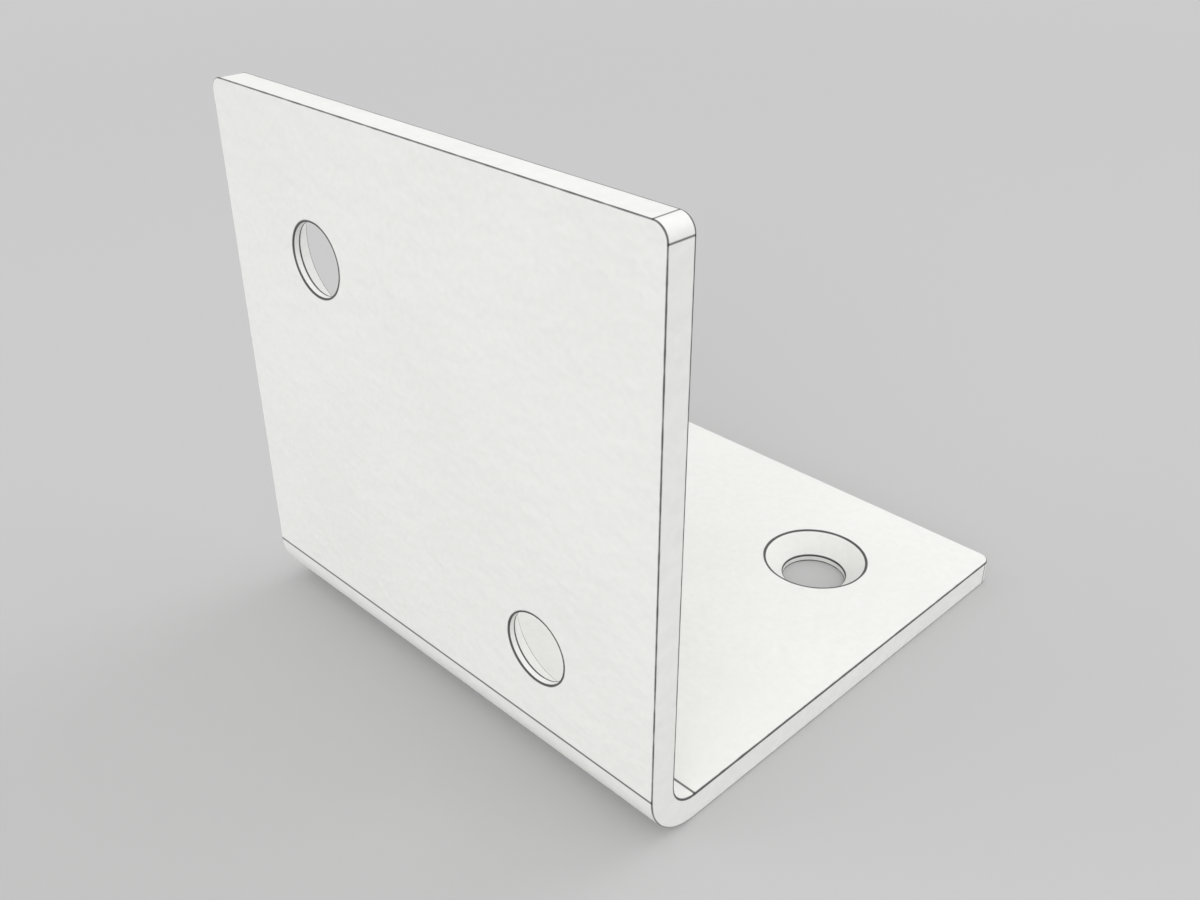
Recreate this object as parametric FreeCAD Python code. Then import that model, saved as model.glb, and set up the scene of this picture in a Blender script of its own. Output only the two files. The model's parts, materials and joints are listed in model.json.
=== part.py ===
import FreeCAD, Part
import math
import os

# Corner brace: a strip of coated sheet steel folded once to a right angle, with two
# countersunk screw holes in each leg. All sizes are in millimetres.
#
# X runs along the bend and +Z is up. The base leg lies on z = 0, and the upright leg
# rises at the back of it with its outer face looking along -Y. The origin is the middle
# of the bounding box's bottom.

# Folded sheet
width = 40.0              # along the bend
upright_length = 40.0     # from the base leg's outer face to the upright leg's free end
base_length = 40.0        # from the upright leg's outer face to the base leg's free end
sheet = 2.0               # thickness
inner_bend_radius = 2.0
corner_radius = 1.0       # the four free corners, seen on the flat
edge_break = 0.1          # rounding of the cut edges

# Screw holes
hole_diameter = 5.0
sink_diameter = 8.0       # of the countersink, at the inner face
sink_angle = 90.0         # included angle of the countersink, in degrees
side_margin = 10.0        # from a hole's centre to the nearer side of the sheet
end_margin = 10.0         # from a leg's far hole to its free end
heel_margin = 10.0        # from a leg's near hole to the other leg's outer face

# Places that follow from the sizes
outer_bend_radius = inner_bend_radius + sheet
wall_y = -base_length / 2
free_end_y = wall_y + base_length
hole_radius = hole_diameter / 2
sink_flare = math.tan(math.radians(sink_angle / 2))
sink_depth = (sink_diameter / 2 - hole_radius) / sink_flare

# Modelling allowances
overcut = 1.0             # how far a cutter runs past the faces that it opens
tiny = 1e-3               # lengths that count as nothing
smooth_turn = 0.1         # faces that meet at less than this angle, in radians, run on smoothly

along_y = FreeCAD.Vector(0, 1, 0)
along_z = FreeCAD.Vector(0, 0, 1)


def skin_line(depth):
    """The section's line at a depth below the outer skin, from the top round the bend to the free end."""
    radius = outer_bend_radius - depth
    bend_centre = (along_y + along_z) * outer_bend_radius + along_y * wall_y
    upright_tangent = bend_centre - along_y * radius
    bend_middle = bend_centre - (along_y + along_z) * (radius * math.sqrt(0.5))
    base_tangent = bend_centre - along_z * radius
    top = along_y * (wall_y + depth) + along_z * upright_length
    free_end = along_y * free_end_y + along_z * depth
    return [
        Part.LineSegment(top, upright_tangent).toShape(),
        Part.Arc(upright_tangent, bend_middle, base_tangent).toShape(),
        Part.LineSegment(base_tangent, free_end).toShape(),
    ]


def folded_sheet():
    """The sheet folded along X, with square free corners."""
    outer, inner = skin_line(0), skin_line(sheet)
    top = Part.LineSegment(outer[0].Vertexes[0].Point, inner[0].Vertexes[0].Point).toShape()
    end = Part.LineSegment(outer[-1].Vertexes[-1].Point, inner[-1].Vertexes[-1].Point).toShape()
    outline = Part.Wire(Part.sortEdges(outer + [end] + inner + [top])[0])
    section = Part.Face(outline)
    section.translate(FreeCAD.Vector(-width / 2, 0, 0))
    return section.extrude(FreeCAD.Vector(width, 0, 0))


def is_free_corner(edge):
    """Does this edge cross the sheet's thickness at a leg's free end?"""
    box = edge.BoundBox
    on_top = abs(box.ZMin - upright_length) < tiny
    on_free_end = abs(box.YMin - free_end_y) < tiny
    return box.XLength < tiny and (on_top or on_free_end)


def is_sharp(edge, solid):
    """Do the two faces along this edge meet at an angle?"""
    middle = edge.valueAt((edge.FirstParameter + edge.LastParameter) / 2)
    faces = solid.ancestorsOfType(edge, Part.Face)
    normals = [face.normalAt(*face.Surface.parameter(middle)) for face in faces]
    return len(normals) == 2 and normals[0].getAngle(normals[1]) > smooth_turn


def blank():
    """The folded sheet with its free corners rounded and its cut edges broken."""
    sheet_metal = folded_sheet()
    corners = [edge for edge in sheet_metal.Edges if is_free_corner(edge)]
    sheet_metal = sheet_metal.makeFillet(corner_radius, corners)
    cut_edges = [edge for edge in sheet_metal.Edges if is_sharp(edge, sheet_metal)]
    return sheet_metal.makeFillet(edge_break, cut_edges)


def hole_places():
    """Each hole's centre on the outer face, with the direction to the inner face.

    A leg's near hole stands on the other side from the other leg's near hole, so that
    screws driven through the two legs pass each other.
    """
    side = FreeCAD.Vector(width / 2 - side_margin, 0, 0)
    wall = along_y * wall_y
    return [
        (wall - side + along_z * (upright_length - end_margin), along_y),
        (wall + side + along_z * heel_margin, along_y),
        (side + along_y * (free_end_y - end_margin), along_z),
        (wall - side + along_y * heel_margin, along_z),
    ]


def hole_cutter(centre, inward):
    """A straight hole through the sheet that opens into a countersink at the inner face."""
    straight = Part.makeCylinder(hole_radius, sheet + 2 * overcut, centre - inward * overcut, inward)
    sink_radius = sink_diameter / 2 + overcut * sink_flare
    sink_start = centre + inward * (sheet - sink_depth)
    sink = Part.makeCone(hole_radius, sink_radius, sink_depth + overcut, sink_start, inward)
    return straight.fuse(sink)


def corner_brace():
    """The finished brace as one solid."""
    cutters = [hole_cutter(centre, inward) for centre, inward in hole_places()]
    return blank().cut(cutters).Solids[0]


os.makedirs("parts", exist_ok=True)
corner_brace().exportStep("parts/corner_brace.step")
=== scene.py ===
import json
import math
from types import SimpleNamespace

import bpy
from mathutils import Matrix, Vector


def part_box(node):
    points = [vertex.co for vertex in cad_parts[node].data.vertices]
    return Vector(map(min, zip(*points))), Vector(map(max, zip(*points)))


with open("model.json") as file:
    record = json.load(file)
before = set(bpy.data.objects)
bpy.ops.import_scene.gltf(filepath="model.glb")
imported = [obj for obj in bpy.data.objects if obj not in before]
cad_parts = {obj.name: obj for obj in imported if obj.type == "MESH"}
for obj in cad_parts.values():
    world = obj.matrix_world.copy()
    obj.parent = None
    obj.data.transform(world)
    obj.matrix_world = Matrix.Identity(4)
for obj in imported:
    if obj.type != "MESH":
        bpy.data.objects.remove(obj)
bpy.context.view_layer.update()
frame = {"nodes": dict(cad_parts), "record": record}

MM = 0.001

# Camera, as the picture was drawn: a 40 degree vertical field, seen from the front right and above
VIEW_AZIMUTH = 45
VIEW_ELEVATION = 30
VIEW_AIM = Vector((0.28, -4.64, 13.98)) * MM
VIEW_DISTANCE = 89.95 * MM
VERTICAL_FIELD = 40
FRAME_ASPECT = 1200 / 900
SENSOR_WIDTH = 36.0
NEAREST_SEEN = 1 * MM

# Square softboxes: azimuth, elevation and watts
LAMPS = {
    "front_right": (30, 28, 0.79),
    "front_left": (-35, 28, 0.37),
    "right": (120, 28, 0.22),
    "back": (170, 35, 0.56),
}
LAMP_AIM = Vector((0, 0, 15)) * MM
LAMP_DISTANCE = 1.2
LAMP_SIZE = 0.9
LAMP_SPREAD = 60

# Studio
WHITE = (1, 1, 1, 1)
DOME = 0.89                      # strength of the even light from all sides
BACKDROP_TONE = 0.60
FLOOR_TONE = 0.50
FLOOR_ROUGHNESS = 0.9
FLOOR_REACH = 5.0
FLOOR_FADE = (0.10, 0.28)        # how far out the lit floor turns into the backdrop's tone

# The folded sheet, in millimetres
LOW, HIGH = (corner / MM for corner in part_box("corner_brace"))
SHEET = 2.0
OUTER_BEND = 4.0
CORNER = 1.0
EDGE_BREAK = 0.1
EDGE_CREST = EDGE_BREAK * (1 - math.sqrt(0.5))      # how far its middle lies inside both faces
BEND_Y = LOW.y + OUTER_BEND      # the bend's centre line, level with where both legs turn flat
BEND_Z = LOW.z + OUTER_BEND
BEND_LENGTH = OUTER_BEND * math.pi / 2              # round the outer skin
BORES = [mount for mount in frame["record"]["mounts"] if mount["kind"] == "bore"]
HOLE_RADIUS = BORES[0]["dims"]["r_mm"]
HOLE_STRAIGHT = BORES[0]["dims"]["length_mm"]
SINK_RADIUS = HOLE_RADIUS + SHEET - HOLE_STRAIGHT   # the countersink opens at 45 degrees to its axis

# Noises: the length of a wave in millimetres, and how many times finer waves are added
NOISE_MIDDLE = 0.5
CLOUD = (13.0, 3)
SPECK = (0.45, 0)
PEEL = (1.4, 1)
GRAIN = (0.4, 0)
RIB = (0.3, 0)
WAVER = (1.2, 2)

# Powder coat, with heights in millimetres
COAT_LIGHT = (0.812, 0.812, 0.792)
COAT_SHADE = (0.788, 0.788, 0.768)
SPECK_SHARE = 0.5                # beside the clouds
MOTTLE = (0.55, 0.95)            # where clouds and specks together turn the coat from light to shade
PEEL_HEIGHT = 0.09
GRAIN_HEIGHT = 0.016
RIB_HEIGHT = 0.004               # of the shear's ribs on the cut edges, which cross the sheet
RIB_STRETCH = 0.06
MARK_HEIGHT = -0.006
COAT_ROUGHNESS = 0.46
CLOUD_ROUGHNESS, HOLE_ROUGHNESS, THIN_ROUGHNESS = 0.08, 0.06, 0.05      # what each adds
BEVEL_SAMPLES = 8

# Painted shade: dark lines along the cut edges, round the holes' rims and where the bend and the corners'
# roundings begin, where the coat is also thinner. In millimetres
# Near black, for the painted shade lines, and for the steel under the thinner coat on the holes' walls
STEEL_AND_SHADE_GREY = (0.05, 0.052, 0.05)
STRIP_FADE = 0.085               # how far from a cut edge a strip has faded out
RIM_STRIP = 0.09                 # how much wider the strips are round the holes
BURR_STRIP = 0.07                # and on the cut faces along the inner skin, where the shears left a burr
RIM_SQUEEZE = 1.6                # how much narrower they are down the holes' walls than on the skins
WAVER_WIDTH = 0.06               # how much the strips waver
BEND_MARK = (0.14, 0.02)         # how far from where the bend begins a painted shade line starts, and where it is full
CORNER_MARK = (0.11, 0.0)
EDGE_PAINTED_SHADE, MARK_PAINTED_SHADE, HOLE_BARE = 0.97, 0.93, 0.03      # how dark each turns: the painted shade lines on the edges and at the bend and corners, and the thinner coat on the holes' walls

# Where one kind of surface ends and another begins, as distances inside a face in millimetres
SKIN_END = (0.06, 0.02)
CUT_END = (0.08, 0.02)
WALL_START = (0.05, 0.2)         # a hole's wall, measured from the skins
WALL_INSIDE = (0.3, 0.5)         # and from the sheet's outline


def direction(azimuth, elevation):
    """The unit vector from the object towards a viewer or a lamp. Azimuth 0 looks along +Y."""
    azimuth, elevation = math.radians(azimuth), math.radians(elevation)
    flat = math.cos(elevation)
    return Vector((math.sin(azimuth) * flat, -math.cos(azimuth) * flat, math.sin(elevation)))


def point_at(thing, place, aim):
    """Put a camera or a lamp at a place, looking at a point."""
    thing.location = place
    thing.rotation_euler = (aim - place).to_track_quat("-Z", "Y").to_euler()


def add(name, data):
    """A new object in the scene's collection."""
    thing = bpy.data.objects.new(name, data)
    bpy.context.scene.collection.objects.link(thing)
    return thing


def make_camera():
    data = bpy.data.cameras.new("camera")
    data.sensor_width = SENSOR_WIDTH
    data.lens = SENSOR_WIDTH / FRAME_ASPECT / 2 / math.tan(math.radians(VERTICAL_FIELD) / 2)
    data.clip_start = NEAREST_SEEN
    camera = add("camera", data)
    place = VIEW_AIM + direction(VIEW_AZIMUTH, VIEW_ELEVATION) * VIEW_DISTANCE
    point_at(camera, place, VIEW_AIM)
    bpy.context.scene.camera = camera


def make_lamp(name, azimuth, elevation, power):
    """A square softbox that looks at the middle of the object."""
    data = bpy.data.lights.new(name, "AREA")
    data.shape = "SQUARE"
    data.size = LAMP_SIZE
    data.energy = power
    data.spread = math.radians(LAMP_SPREAD)
    lamp = add(name, data)
    lamp.visible_camera = False
    point_at(lamp, LAMP_AIM + direction(azimuth, elevation) * LAMP_DISTANCE, LAMP_AIM)


# The mix node's sockets for colours
MIX_FIRST, MIX_SECOND, MIX_RESULT = 6, 7, 2


class Graph:
    """The nodes of a material or world. An input takes a value or another node's output."""

    def __init__(self, owner):
        owner.use_nodes = True
        self.owner = owner
        self.nodes = owner.node_tree.nodes
        self.links = owner.node_tree.links

    def feed(self, socket, value):
        if isinstance(value, bpy.types.NodeSocket):
            self.links.new(value, socket)
        else:
            socket.default_value = value

    def add(self, kind, inputs=(), output=0, **settings):
        node = self.nodes.new("ShaderNode" + kind)
        for name, value in settings.items():
            setattr(node, name, value)
        for name, value in dict(inputs).items():
            self.feed(node.inputs[name], value)
        return node.outputs[output]

    def maths(self, operation, *values):
        """One operation over all the values, from left to right."""
        result = self.add("Math", enumerate(values[:2]), operation=operation)
        for value in values[2:]:
            result = self.add("Math", {0: result, 1: value}, operation=operation)
        return result

    def plus(self, *values):
        return self.maths("ADD", *values)

    def minus(self, first, second):
        return self.maths("SUBTRACT", first, second)

    def times(self, *values):
        return self.maths("MULTIPLY", *values)

    def least(self, *values):
        return self.maths("MINIMUM", *values)

    def most(self, *values):
        return self.maths("MAXIMUM", *values)

    def size(self, value):
        return self.maths("ABSOLUTE", value)

    def length(self, first, second):
        """The length of a line that runs this far along two axes."""
        return self.maths("SQRT", self.plus(self.times(first, first), self.times(second, second)))

    def distance(self, place, point):
        return self.add("VectorMath", {0: place, 1: point}, output="Value", operation="DISTANCE")

    def step(self, value, start, end):
        """0 up to start and 1 past end, or the other way round where start is the larger."""
        inputs = {"Value": value, "From Min": start, "From Max": end}
        return self.add("MapRange", inputs, interpolation_type="SMOOTHSTEP")

    def noise(self, place, length, detail):
        """Noise around NOISE_MIDDLE whose waves are about this long."""
        return self.add("TexNoise", {"Vector": place, "Scale": 1 / length, "Detail": detail})

    def mix(self, factor, first, second):
        """The first colour where the factor is 0 and the second where it is 1."""
        if isinstance(first, tuple):
            first = (*first, 1)
        inputs = {"Factor": factor, MIX_FIRST: first, MIX_SECOND: (*second, 1)}
        return self.add("Mix", inputs, output=MIX_RESULT, data_type="RGBA")


def lay_flat(graph, y, z):
    """How deep a point lies under the outer skin, and how far along the sheet with the fold laid
    out flat, up the upright leg from the bend."""
    before_bend = graph.most(graph.minus(BEND_Y, y), 0.0)
    under_bend = graph.most(graph.minus(BEND_Z, z), 0.0)
    depth = graph.minus(OUTER_BEND, graph.length(before_bend, under_bend))
    turned = graph.times(graph.maths("ARCTAN2", under_bend, before_bend), OUTER_BEND)
    up_leg = graph.most(graph.minus(z, BEND_Z), 0.0)
    along_base = graph.most(graph.minus(y, BEND_Y), 0.0)
    return depth, graph.minus(up_leg, graph.plus(along_base, turned))


def hole_centre(bore):
    """A hole's centre on the sheet with the fold laid out flat."""
    x, y, z = Vector(bore["pos_m"]) / MM
    on_upright = z > BEND_Z
    return (x, z - BEND_Z if on_upright else BEND_Y - y - BEND_LENGTH, 0.0)


def from_hole_rims(graph, x, along, depth):
    """How far a point lies from the nearest rim of a hole, or from where a countersink begins."""
    on_plan = graph.add("CombineXYZ", {"X": x, "Y": along})
    from_axis = graph.least(*[graph.distance(on_plan, hole_centre(bore)) for bore in BORES])
    section = graph.add("CombineXYZ", {"X": from_axis, "Y": graph.times(depth, RIM_SQUEEZE)})
    rims = ((HOLE_RADIUS, 0.0), (HOLE_RADIUS, HOLE_STRAIGHT), (SINK_RADIUS, SHEET))
    points = [(radius, down * RIM_SQUEEZE, 0.0) for radius, down in rims]
    return graph.least(*[graph.distance(section, point) for point in points])


def inside_outline(graph, from_side, from_end):
    """How far a point lies inside the sheet's cut edge, which is round at the free corners."""
    near_side = graph.most(graph.minus(CORNER, from_side), 0.0)
    near_end = graph.most(graph.minus(CORNER, from_end), 0.0)
    return graph.minus(CORNER, graph.length(near_side, near_end))


def from_corner_lines(graph, from_side, from_end):
    """How far a point lies from the lines across the cut edge where a corner's rounding begins."""
    from_side_line = graph.plus(graph.size(graph.minus(from_side, CORNER)), from_end)
    from_end_line = graph.plus(graph.size(graph.minus(from_end, CORNER)), from_side)
    return graph.least(from_side_line, from_end_line)


def sheet_places(graph):
    """Where a point lies on the sheet, in millimetres."""
    in_metres = graph.add("TexCoord", output="Object")
    here = graph.add("VectorMath", {0: in_metres, "Scale": 1 / MM}, operation="SCALE")
    split = graph.nodes.new("ShaderNodeSeparateXYZ")
    graph.feed(split.inputs[0], here)
    x, y, z = split.outputs
    depth, along = lay_flat(graph, y, z)
    from_side = graph.minus(HIGH.x, graph.size(x))
    from_end = graph.least(graph.minus(HIGH.z, z), graph.minus(HIGH.y, y))
    from_bend_z, from_bend_y = graph.size(graph.minus(z, BEND_Z)), graph.size(graph.minus(y, BEND_Y))
    return SimpleNamespace(
        flat=graph.add("CombineXYZ", {"X": x, "Y": along, "Z": depth}),
        inside_skin=graph.least(depth, graph.minus(SHEET - BURR_STRIP, depth)),
        inside_outline=inside_outline(graph, from_side, from_end),
        from_tangent=graph.least(from_bend_z, from_bend_y),
        from_corner=from_corner_lines(graph, from_side, from_end),
        from_rim=from_hole_rims(graph, x, along, depth),
    )


def thin_coat_and_shade_lines(graph, place):
    """1 along the cut edges and round the rims of the holes, where a dark line is painted as the edges'
    shade and the coat is thinner.
    """
    from_edge = graph.minus(graph.most(place.inside_skin, place.inside_outline), EDGE_CREST)
    from_rim = graph.minus(place.from_rim, RIM_STRIP)
    waver = graph.times(graph.minus(graph.noise(place.flat, *WAVER), NOISE_MIDDLE), WAVER_WIDTH)
    return graph.step(graph.plus(graph.least(from_edge, from_rim), waver), STRIP_FADE, 0.0)


def dent_and_shade_lines(graph, place):
    """1 on the fine lines where the bend and the corners' roundings begin, painted dark as the shade
    where the surface turns, and pressed in a little.
    """
    on_skin = graph.step(place.inside_skin, *SKIN_END)
    at_bend = graph.times(graph.step(place.from_tangent, *BEND_MARK), on_skin)
    return graph.most(at_bend, graph.step(place.from_corner, *CORNER_MARK))


def hole_walls(graph, place):
    """1 on the walls of the holes."""
    between_skins = graph.step(place.inside_skin, *WALL_START)
    return graph.times(between_skins, graph.step(place.inside_outline, *WALL_INSIDE))


def coat_height(graph, place, dents_and_shade_lines):
    """Orange peel and a fine grain, with the shear's ribs on the cut edges and shallow dents along the
    lines at the bend and the corners.
    """
    ribbed = graph.add("VectorMath", {0: place.flat, 1: (1.0, 1.0, RIB_STRETCH)}, operation="MULTIPLY")
    on_cut = graph.step(place.inside_outline, *CUT_END)
    return graph.plus(
        graph.times(graph.noise(place.flat, *PEEL), PEEL_HEIGHT),
        graph.times(graph.noise(place.flat, *GRAIN), GRAIN_HEIGHT),
        graph.times(graph.noise(ribbed, *RIB), on_cut, RIB_HEIGHT),
        graph.times(dents_and_shade_lines, MARK_HEIGHT),
    )


def powder_coat():
    """White powder coat with faint clouds and orange peel. Dark lines are painted as shade along the
    edges, the rims and where the bend and the corners' roundings begin; the coat is also thinner there."""
    graph = Graph(bpy.data.materials.new("white_powder_coat"))
    place = sheet_places(graph)
    # The strips and lines below are painted shade along the edges, the rims, the bend and the corners
    thin_and_shade = thin_coat_and_shade_lines(graph, place)
    dents_and_shade_lines = dent_and_shade_lines(graph, place)
    walls = hole_walls(graph, place)
    cloud = graph.noise(place.flat, *CLOUD)

    mottle = graph.plus(cloud, graph.times(graph.noise(place.flat, *SPECK), SPECK_SHARE))
    coat = graph.mix(graph.step(mottle, *MOTTLE), COAT_LIGHT, COAT_SHADE)
    # How far the coat turns to near black: painted shade lines, and slightly on the holes' walls for
    # their thinner coat
    steel_and_shade = graph.plus(
        graph.times(thin_and_shade, EDGE_PAINTED_SHADE),
        graph.times(dents_and_shade_lines, MARK_PAINTED_SHADE),
        graph.times(walls, HOLE_BARE),
    )
    roughness = graph.plus(
        graph.times(cloud, CLOUD_ROUGHNESS),
        graph.times(walls, HOLE_ROUGHNESS),
        graph.times(thin_and_shade, THIN_ROUGHNESS),
        COAT_ROUGHNESS,
    )
    softened = graph.add("Bevel", {"Radius": EDGE_BREAK * MM}, samples=BEVEL_SAMPLES)
    height = coat_height(graph, place, dents_and_shade_lines)
    bump = {"Strength": 1.0, "Distance": MM, "Height": height, "Normal": softened}

    shader = graph.nodes["Principled BSDF"]
    graph.feed(shader.inputs["Base Color"], graph.mix(steel_and_shade, coat, STEEL_AND_SHADE_GREY))
    graph.feed(shader.inputs["Roughness"], roughness)
    graph.feed(shader.inputs["Normal"], graph.add("Bump", bump))
    return graph.owner


def in_view(graph):
    """1 where a surface is seen, straight or in a reflection, and 0 where it lights the object."""
    path = graph.nodes.new("ShaderNodeLightPath").outputs
    return graph.most(path["Is Camera Ray"], path["Is Glossy Ray"], path["Is Transmission Ray"])


def make_floor():
    """A matt pale floor that holds the shadow, and runs into the backdrop's tone far out."""
    reach = FLOOR_REACH
    corners = [(-reach, -reach, 0), (reach, -reach, 0), (reach, reach, 0), (-reach, reach, 0)]
    mesh = bpy.data.meshes.new("floor")
    mesh.from_pydata(corners, [], [(0, 1, 2, 3)])
    graph = Graph(bpy.data.materials.new("floor"))
    shader = graph.nodes["Principled BSDF"]
    graph.feed(shader.inputs["Base Color"], (FLOOR_TONE, FLOOR_TONE, FLOOR_TONE, 1))
    graph.feed(shader.inputs["Roughness"], FLOOR_ROUGHNESS)
    graph.feed(shader.inputs["Specular IOR Level"], 0.0)
    away = graph.distance(graph.add("TexCoord", output="Object"), (0.0, 0.0, 0.0))
    far = graph.times(graph.step(away, *FLOOR_FADE), in_view(graph))
    plain = graph.add("Emission", {"Color": WHITE, "Strength": BACKDROP_TONE})
    shown = graph.add("MixShader", {0: far, 1: shader.outputs[0], 2: plain})
    graph.feed(graph.nodes["Material Output"].inputs["Surface"], shown)
    mesh.materials.append(graph.owner)
    add("floor", mesh)


def make_world():
    """A white dome of even light. Where it is seen it has the backdrop's tone."""
    graph = Graph(bpy.data.worlds.new("studio"))
    background = graph.nodes["Background"]
    strength = graph.add("Mix", {"Factor": in_view(graph), "A": DOME, "B": BACKDROP_TONE})
    graph.feed(background.inputs["Strength"], strength)
    graph.feed(background.inputs["Color"], WHITE)
    bpy.context.scene.world = graph.owner


make_camera()
make_floor()
make_world()
for lamp, values in LAMPS.items():
    make_lamp(lamp, *values)

brace = frame["nodes"]["corner_brace"]
brace.material_slots[0].material = powder_coat()

bpy.context.scene.view_settings.view_transform = "Standard"
